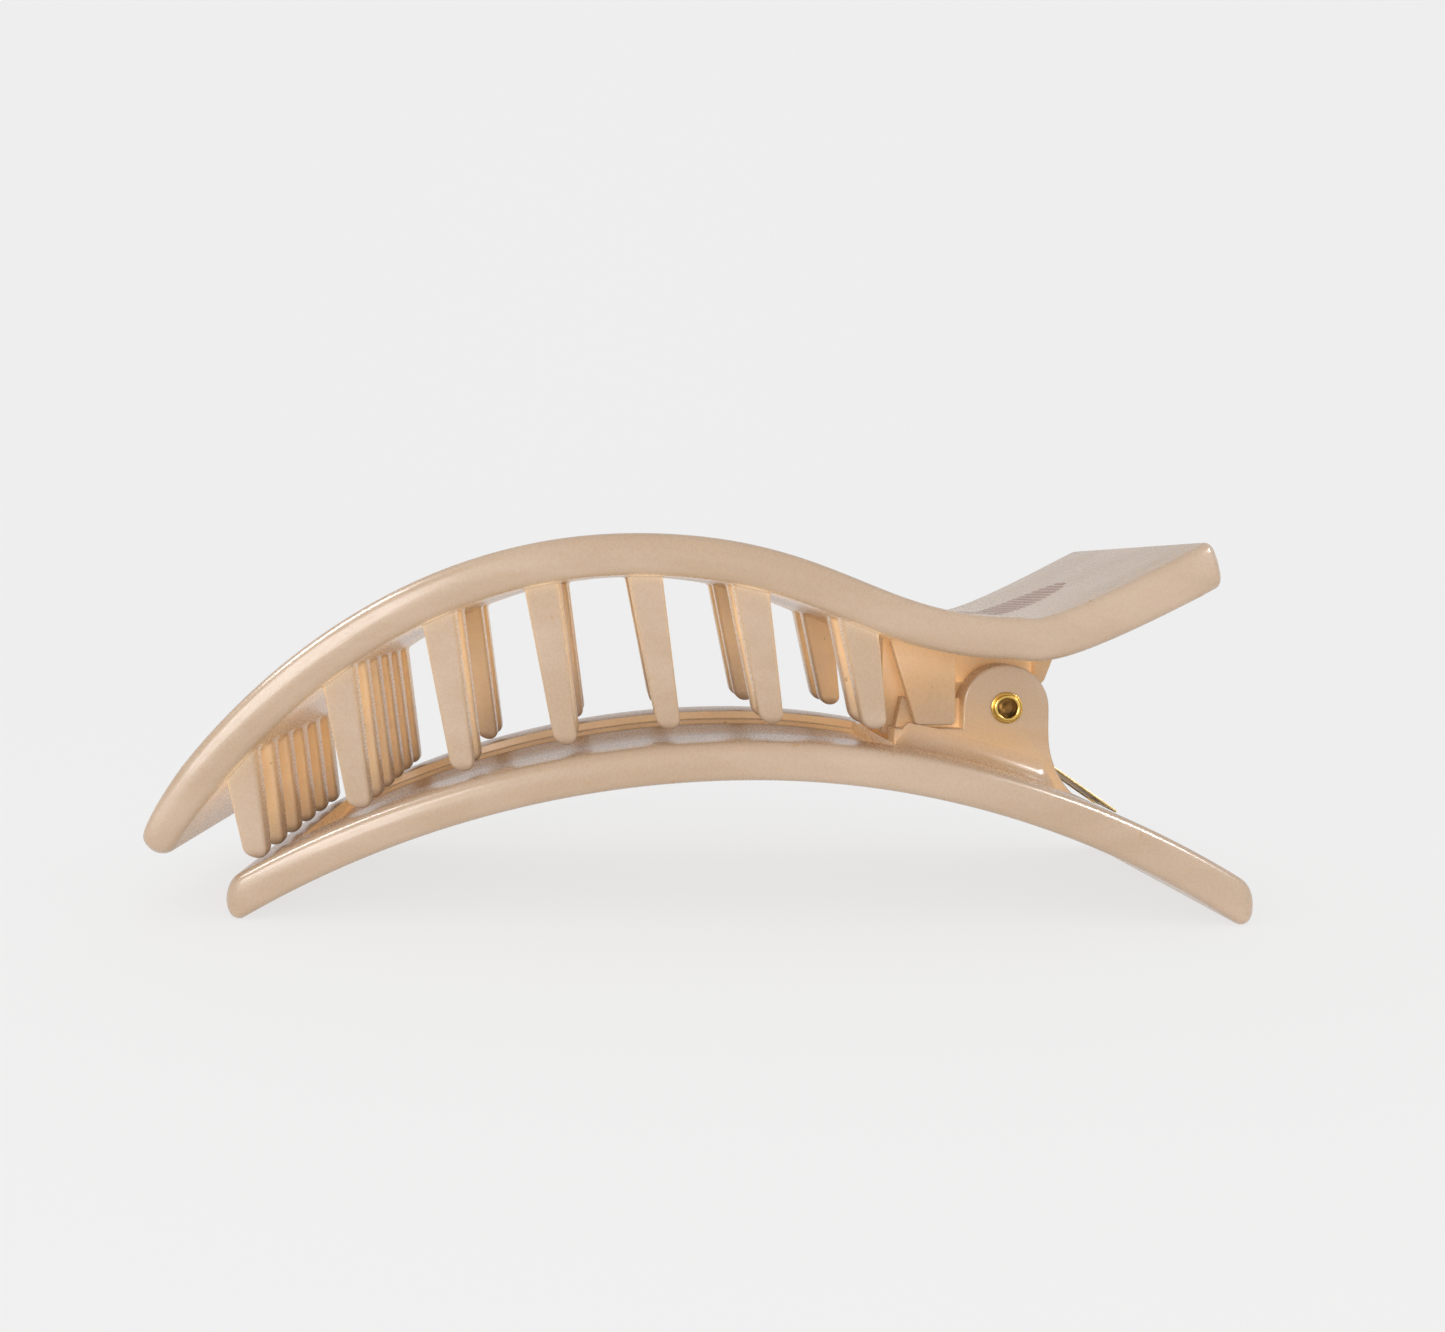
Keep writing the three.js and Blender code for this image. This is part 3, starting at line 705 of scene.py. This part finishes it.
def cheek_outline():
    right = PIN_X - EAR_RADIUS - CHEEK_TO_EAR
    top_left = HINGE_FROM_X - CHEEK_LEAN / 3
    left = top_left + CHEEK_LEAN
    low = CHEEK_BOTTOM_Z
    corner = CHEEK_CORNER
    steps = CHEEK_CORNER_STEPS
    outline = [(top_left, upper_z(top_left))]
    outline += quadratic((left, low + corner), (left, low), (left + corner, low), steps)
    outline += quadratic((right - corner, low), (right, low), (right, low + corner), steps)
    outline.append((right, upper_z(right)))
    return outline


def lug_outline(with_pocket):
    """The lug's side view. The outer layer leaves the pocket above the ear open.

    The solid layer bends at the trough, so that its top stays inside the curved plate.
    """
    outline = [(LUG_TOP_X, upper_z(LUG_TOP_X))]
    if with_pocket:
        floor = PIN_Z + POCKET_RISE
        from_x, to_x = POCKET_X
        outline += [(to_x, upper_z(to_x)), (to_x, floor), (from_x, floor), (from_x, upper_z(from_x))]
    else:
        outline.append(UPPER_TROUGH)
    outline += [(LUG_FROM_X, upper_z(LUG_FROM_X)), (LUG_FROM_X, LUG_FRONT_Z)]
    outline += arc((PIN_X, PIN_Z), LUG_RADIUS, *LUG_ARC, LUG_STEPS)
    outline.append(LUG_BACK)
    return outline


def foot_fillets(bm):
    """The soft fillets where the ears' outer faces run down into the plate."""
    face = EAR_Y[1]
    for sign in (1, -1):
        rings = []
        for i in range(FOOT_STEPS + 1):
            x = lerp(*FOOT_X, i / FOOT_STEPS)
            base = lower_top(x)
            near_end = min(i, FOOT_STEPS - i) / FOOT_END_STEPS
            size = FOOT_FILLET * min(1.0, FOOT_END_SHARE + near_end)
            ring = []
            for k in range(FOOT_POINTS):
                turn = math.pi / 2 * k / (FOOT_POINTS - 1)
                out = size * (1 - math.sin(turn)) - FOOT_SUNK
                up = size * (1 - math.cos(turn)) - FOOT_SUNK
                ring.append((x, sign * (face + out), base + up))
            ring.append((x, sign * (face - FOOT_ROOT), base + size))
            ring.append((x, sign * (face - FOOT_ROOT), base - FOOT_ROOT))
            ring.append((x, sign * (face + size), base - FOOT_ROOT))
            rings.append(ring)
        loft(bm, rings, HINGE_MATERIAL)


# ---- Materials ----


class Nodes:
    """A short way to add shader nodes and link them."""

    def __init__(self, name):
        self.material = bpy.data.materials.new(name)
        self.material.use_nodes = True
        self.tree = self.material.node_tree
        self.shader = self.tree.nodes["Principled BSDF"]

    def add(self, kind, inputs=None, **settings):
        node = self.tree.nodes.new(kind)
        for key, value in settings.items():
            setattr(node, key, value)
        for key, value in (inputs or {}).items():
            if isinstance(value, bpy.types.NodeSocket):
                self.tree.links.new(value, node.inputs[key])
            else:
                node.inputs[key].default_value = value
        return node

    def ramp(self, factor, stops):
        node = self.add("ShaderNodeValToRGB", {"Fac": factor})
        elements = node.color_ramp.elements
        elements[0].position, elements[1].position = stops[0][0], stops[-1][0]
        for position, _ in stops[1:-1]:
            elements.new(position)
        for element, (_, color) in zip(elements, stops):
            element.color = (*color, 1)
        return node.outputs["Color"]

    def noise(self, scale, detail=3.0, roughness=0.5, distortion=0.0):
        """Noise in the object's own coordinates, with the number of grains in a metre on each axis."""
        place = self.add("ShaderNodeTexCoord").outputs["Object"]
        stretched = self.add("ShaderNodeMapping", {"Vector": place, "Scale": scale}).outputs["Vector"]
        node = self.add("ShaderNodeTexNoise", {
            "Vector": stretched, "Scale": 1.0, "Detail": detail,
            "Roughness": roughness, "Distortion": distortion,
        })
        return node.outputs["Fac"]

    def fade(self, value, from_value, to_value, most):
        """0 up to from_value, rising to most at to_value."""
        return self.spread(value, from_value, to_value, 0, most)

    def spread(self, value, from_value, to_value, low, high):
        """Moves a value from one range to another, held to that range."""
        return self.add("ShaderNodeMapRange", {
            "Value": value, 1: from_value, 2: to_value, 3: low, 4: high,
        }).outputs[0]

    def bump(self, height, strength, distance, below=None):
        """The normal of a bumpy surface, on top of another bumpy normal if there is one."""
        inputs = {"Height": height, "Strength": strength, "Distance": distance}
        if below is not None:
            inputs["Normal"] = below
        return self.add("ShaderNodeBump", inputs).outputs["Normal"]

    def mix(self, blend_type, share, a, b):
        node = self.add("ShaderNodeMix", data_type="RGBA", blend_type=blend_type)
        self.tree.links.new(share, node.inputs["Factor"])
        self.tree.links.new(a, node.inputs["A"])
        node.inputs["B"].default_value = (*b, 1)
        return node.outputs["Result"]

    def set(self, **values):
        for key, value in values.items():
            socket = self.shader.inputs[key.replace("_", " ")]
            if isinstance(value, bpy.types.NodeSocket):
                self.tree.links.new(value, socket)
            else:
                socket.default_value = value


def pearl_plastic(name, tones, cloud_color):
    """Cream plastic with pearl clouds drawn out along the clip and fine glints, with painted light in
    its recesses: lighter, warmer tones and a faint emitted glow.
    """
    n = Nodes(name)
    openness = n.add(
        "ShaderNodeAmbientOcclusion", {"Distance": RECESS_REACH}, samples=8, only_local=True,
    ).outputs["AO"]
    clouds = n.noise(CLOUD_GRAINS, detail=4, roughness=0.55, distortion=0.4)
    streaks = n.noise(STREAK_GRAINS, detail=2, roughness=0.6)
    specks = n.noise(SPECK_GRAINS, detail=0, roughness=0)
    # Painted light: the recesses get lighter, warmer tones, standing in for light carried through the
    # translucent plastic.
    colour = n.ramp(openness, tones)
    colour = n.mix("MIX", n.fade(clouds, 0.42, 0.68, CLOUD_SHARE), colour, cloud_color)
    colour = n.mix("MULTIPLY", n.fade(streaks, 0.5, 0.75, STREAK_SHARE), colour, CREAM_STREAK)
    colour = n.mix("MIX", n.fade(specks, 0.84, 0.86, SPECK_SHARE), colour, CREAM_SPECK)
    glints = n.noise(GLINT_GRAINS, detail=1, roughness=0.4)
    ripple = n.noise(RIPPLE_GRAINS, detail=1, roughness=0.4)
    wavy = n.bump(ripple, 0.1, 0.0001)
    n.set(Base_Color=colour, Roughness=n.spread(glints, 0.35, 0.65, 0.34, 0.22))
    n.set(Normal=n.bump(glints, 0.07, 0.00005, wavy))
    n.set(Subsurface_Weight=0.15, Subsurface_Scale=0.0009, Subsurface_Radius=SUBSURFACE_REACH)
    n.set(Coat_Weight=0.18, Coat_Roughness=0.1, IOR=1.45, Specular_IOR_Level=0.32)
    # Painted glow: the recesses emit a faint warm light, though the plastic is no lamp.
    n.set(Emission_Color=n.ramp(openness, PAINTED_GLOW_TONES), Emission_Strength=1.0)
    n.set(Sheen_Weight=0.03, Sheen_Roughness=0.35, Sheen_Tint=SHEEN_TINT)
    return n.material


def gold_metal(name, color, line_grains):
    """Polished gold with faint drawn lines and slightly uneven colour."""
    n = Nodes(name)
    lines = n.noise(line_grains)
    dark = tuple(0.72 * c for c in color)
    n.set(Base_Color=n.ramp(n.noise(GOLD_GRAINS), ((0.3, dark), (0.7, color))), Metallic=1.0)
    n.set(Roughness=n.spread(lines, 0.3, 0.7, 0.16, 0.34), Normal=n.bump(lines, 0.15, 0.00004))
    return n.material


def painted_shade_bore():
    """The rivet's inside, dark brown in patches and rougher: painted shade that stands in for the depth
    of the hole.
    """
    n = Nodes("rivet_bore")
    patches = n.noise(BORE_GRAINS, detail=4, roughness=0.65)
    n.set(Base_Color=n.ramp(patches, ((0.35, BORE_PAINTED_SHADE), (0.7, BORE_PAINTED_SHADE_PALE))), Metallic=0.8)
    n.set(Roughness=n.spread(patches, 0.3, 0.7, 0.65, 0.42), Normal=n.bump(patches, 0.5, 0.00008))
    return n.material


# ---- Rivet ----


def lathe(bm, profile):
    """Turns a closed loop of (radius, y) points round the hinge axis.

    The faces inside the bore take the second material.
    """
    rings = []
    for i in range(RIVET_SEGMENTS):
        turn = 2 * math.pi * i / RIVET_SEGMENTS
        rings.append([
            bm.verts.new((PIN_X + radius * math.cos(turn), y, PIN_Z + radius * math.sin(turn)))
            for radius, y in profile
        ])
    count = len(profile)
    for i in range(RIVET_SEGMENTS):
        ring, after = rings[i], rings[(i + 1) % RIVET_SEGMENTS]
        for j in range(count):
            k = (j + 1) % count
            face = bm.faces.new((ring[j], ring[k], after[k], after[j]))
            face.material_index = int(max(profile[j][0], profile[k][0]) < RIVET_BORE_RADIUS + 0.01)


def rivet_profile():
    """Both ends of the rivet and the shank between them.

    Each end runs from the bore's crimped bottom over the rolled lip and the flange to the shank.
    """
    seat = EAR_Y[1] + RIVET_SEAT_GAP
    end = RIVET_HIGH.y
    lip = arc((RIVET_BORE_RADIUS + RIVET_LIP, end - RIVET_LIP), RIVET_LIP, math.pi, 0, RIVET_LIP_STEPS)
    edge = RIVET_FLANGE / 2
    rim = (RIVET_FLANGE_RADIUS - edge, seat + edge)
    flange = arc(rim, edge, math.pi / 2, -math.pi / 2, RIVET_FLANGE_STEPS)
    lip_foot = lip[-1][0]
    groove_y = seat + RIVET_FLANGE - RIVET_GROOVE
    groove = [(lip_foot, groove_y), (lip_foot + RIVET_GROOVE, groove_y)]
    crimp = [(share * RIVET_BORE_RADIUS, seat + rise) for share, rise in RIVET_CRIMP]
    half = [*crimp, *lip, *groove, *flange, (RIVET_SHANK_RADIUS, seat)]
    return half + [(radius, -y) for radius, y in reversed(half)]


def make_rivet(materials):
    bm = bmesh.new()
    lathe(bm, rivet_profile())
    return finish_mesh(bm, "tubular_rivet", materials, sharp_degrees=40)


# ---- Spring ----


def spring_leg(contact, side):
    """The point where a leg ends, and the angle at which it leaves the bend."""
    run = Vector(contact) - Vector((PIN_X, PIN_Z))
    angle = math.atan2(run.y, run.x) - side * math.asin(SPRING_BEND_RADIUS / run.length)
    return Vector(contact), angle


def spring_path():
    """The strip's middle line: up the lower leg, round the rivet and out along the upper leg."""
    rest = SPRING_THICKNESS / 2 + SPRING_REST_GAP
    lower_x, upper_x = SPRING_LOWER_CONTACT_X, SPRING_UPPER_CONTACT_X
    lower, lower_angle = spring_leg((lower_x, lower_top(lower_x) + rest), -1)
    upper, upper_angle = spring_leg((upper_x, upper_z(upper_x, -1) - rest), 1)
    bend = arc(
        (PIN_X, PIN_Z), SPRING_BEND_RADIUS,
        lower_angle + 1.5 * math.pi, upper_angle + 0.5 * math.pi, SPRING_BEND_STEPS,
    )
    return [tuple(lower), *bend, tuple(upper)]


def strip_section():
    """The strip's cross-section with its four edges bevelled, as (across, through) offsets."""
    wide, thin = SPRING_HALF_WIDTH, SPRING_THICKNESS / 2
    narrow, low = wide - SPRING_EDGE_BEVEL, thin - SPRING_EDGE_BEVEL
    return [
        (wide, -low), (narrow, -thin),
        (narrow, thin), (wide, low),
        (-wide, low), (-narrow, thin),
        (-narrow, -thin), (-wide, -low),
    ]


def make_spring(material):
    path = [Vector(p) for p in spring_path()]
    rings = []
    for i, point in enumerate(path):
        ahead = path[min(i + 1, len(path) - 1)] - path[max(i - 1, 0)]
        normal = Vector((-ahead.y, ahead.x)).normalized()
        ring = []
        for y, n in strip_section():
            at = point + normal * n
            ring.append((at.x, y, at.y))
        rings.append(ring)
    bm = bmesh.new()
    loft(bm, rings)
    return finish_mesh(bm, "folded_flat_spring", [material], sharp_degrees=50)


# ---- Grip patch ----


def make_grip_patch(material):
    """An oval patch of fine raised ribs on top of the upper handle."""
    bm = bmesh.new()
    for rib in range(RIBS):
        share = (rib + 0.5) / RIBS * 2 - 1
        x = PATCH_X + share * PATCH_HALF[0]
        reach = PATCH_HALF[1] * math.sqrt(1 - share**2)
        rings = []
        for step in range(RIB_STEPS + 1):
            along = 2 * step / RIB_STEPS - 1
            grow = lerp(RIB_END_SHARE, 1, math.sqrt(1 - along**4))
            ring = []
            for dx, rise in arc((0, 0), 1, 0, math.pi, RIB_ARC_STEPS):
                at = x + RIB_HALF * dx
                ring.append((at, along * reach, upper_z(at, 1) + RIB_HEIGHT * grow * rise))
            ring.append((x, along * reach, upper_z(x, 1) - RIB_SUNK))
            rings.append(ring)
        loft(bm, rings)
    return finish_mesh(bm, "grip_patch", [material])


# ---- The clip ----


def make_lower_jaw(materials):
    bm = bmesh.new()
    lower_plate(bm)
    panel(bm, ear_outline(), *EAR_Y, EAR_EDGE_ROUND)
    panel(bm, fence_outline(), *FENCE_Y, FENCE_EDGE_ROUND)
    foot_fillets(bm)
    return finish_mesh(bm, "lower_jaw_moulding", materials)


def make_upper_jaw(materials):
    bm = bmesh.new()
    upper_plate(bm)
    teeth(bm)
    panel(bm, cheek_outline(), *CHEEK_Y, CHEEK_EDGE_ROUND)
    panel(bm, lug_outline(with_pocket=False), LUG_Y[0], POCKET_FLOOR_Y, edge_round=0)
    panel(bm, lug_outline(with_pocket=True), POCKET_FLOOR_Y, LUG_Y[1], LUG_EDGE_ROUND)
    return finish_mesh(bm, "upper_jaw_moulding", materials)


pearl = pearl_plastic("pearl_plastic", PAINTED_RECESS_TONES, CREAM_CLOUD)
# The hinge's copy differs only in its painted recess tones.
hinge_pearl = pearl_plastic("hinge_pearl_plastic", HINGE_PAINTED_RECESS_TONES, CREAM_CLOUD)
rose_pearl = pearl_plastic("rose_pearl_plastic", ROSE_TONES, ROSE_CLOUD)
rivet_gold = gold_metal("rivet_gold", RIVET_GOLD, RIVET_LINES)
spring_gold = gold_metal("spring_gold", SPRING_GOLD, SPRING_LINES)

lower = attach(make_lower_jaw([pearl, hinge_pearl]), "lower")
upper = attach(make_upper_jaw([pearl, hinge_pearl]), "upper")
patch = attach(make_grip_patch(rose_pearl), "upper")
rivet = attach(make_rivet([rivet_gold, painted_shade_bore()]), "lower")
spring = make_spring(spring_gold)
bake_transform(spring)
for piece, node, slot in (
    (lower, "lower_jaw", "pearl_plastic"),
    (upper, "upper_jaw", "pearl_plastic"),
    (patch, "upper_jaw", "pearl_plastic"),
    (rivet, "hinge_rivet", "gold_metal"),
    (spring, "flat_spring", "gold_metal"),
):
    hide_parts(node)

# ---- Stage, light and camera ----


def studio():
    """A pale lit floor that curves up behind the clip. Only a small share of its tone takes shadows."""
    floor = Nodes("studio_paper")
    floor.set(Base_Color=(PAPER_SHADED, PAPER_SHADED, PAPER_SHADED, 1))
    floor.set(Roughness=1.0, Specular_IOR_Level=0.0)
    floor.set(Emission_Color=(1, 1, 1, 1), Emission_Strength=PAPER_GLOW)
    bm = bmesh.new()
    bend_y = PAPER_BACK_Y - PAPER_BEND
    profile = [(PAPER_FRONT_Y, 0)]
    profile += arc((bend_y, PAPER_BEND), PAPER_BEND, -math.pi / 2, 0, PAPER_BEND_STEPS)
    profile.append((PAPER_BACK_Y, PAPER_TOP_Z))
    rows = [
        [bm.verts.new((x, y, z)) for y, z in profile]
        for x in (-PAPER_HALF_WIDTH, PAPER_HALF_WIDTH)
    ]
    for i in range(len(profile) - 1):
        bm.faces.new((rows[0][i], rows[1][i], rows[1][i + 1], rows[0][i + 1]))
    finish_mesh(bm, "studio_backdrop", [floor.material])


def soft_box(name, place, aim, size, power):
    """A rectangular area light, aimed at a point."""
    light = bpy.data.lights.new(name, "AREA")
    light.shape = "RECTANGLE"
    light.size, light.size_y = size
    light.energy = power
    lamp = bpy.data.objects.new(name, light)
    bpy.context.scene.collection.objects.link(lamp)
    lamp.location = place
    lamp.rotation_euler = (Vector(aim) - Vector(place)).to_track_quat("-Z", "Y").to_euler()
    return lamp


def lights():
    """Soft fills from the front, and lamps that show only as highlights on glossy surfaces."""
    world = bpy.data.worlds.new("studio_air")
    world.use_nodes = True
    background = world.node_tree.nodes["Background"]
    background.inputs["Color"].default_value = (1, 1, 1, 1)
    background.inputs["Strength"].default_value = PAPER_TONE
    bpy.context.scene.world = world
    middle = (0, 0, 0.02)
    fill = soft_box("fill_front", (-0.05, -0.42, 0.05), middle, (0.36, 0.14), 0.9)
    fill.visible_glossy = False
    soft_box("fill_front_left", (-0.42, -0.34, 0.12), middle, (0.3, 0.25), 0.4)
    soft_box("fill_front_right", (0.42, -0.34, 0.10), middle, (0.3, 0.25), 0.22)
    for name, place, aim, size, power in (
        ("shine_above_left", (-0.32, -0.06, 0.30), (-0.03, 0, 0.02), (0.16, 0.16), 2.4),
        ("shine_above_right", (0.34, -0.12, 0.26), (0.04, 0, 0.02), (0.12, 0.12), 2.0),
        ("shine_front_left", (-0.42, -0.72, 0.16), (-0.05, 0, 0.01), (0.4, 0.3), 5.0),
    ):
        soft_box(name, place, aim, size, power).visible_diffuse = False


def camera():
    """The camera looks straight along +Y, a little to the left of the clip's middle."""
    data = bpy.data.cameras.new("camera")
    data.lens = FOCAL_LENGTH
    data.sensor_width = SENSOR_WIDTH
    data.shift_x, data.shift_y = SHIFT
    data.clip_start = CAMERA_NEAREST * MM
    seen_from = bpy.data.objects.new("camera", data)
    bpy.context.scene.collection.objects.link(seen_from)
    seen_from.location = (CAMERA_X * MM, -(HALF_WIDTH + CAMERA_DISTANCE) * MM, CAMERA_Z * MM)
    seen_from.rotation_euler = (math.pi / 2, math.radians(-CAMERA_ROLL), 0)
    bpy.context.scene.camera = seen_from


studio()
lights()
camera()
bpy.context.scene.view_settings.view_transform = "Standard"
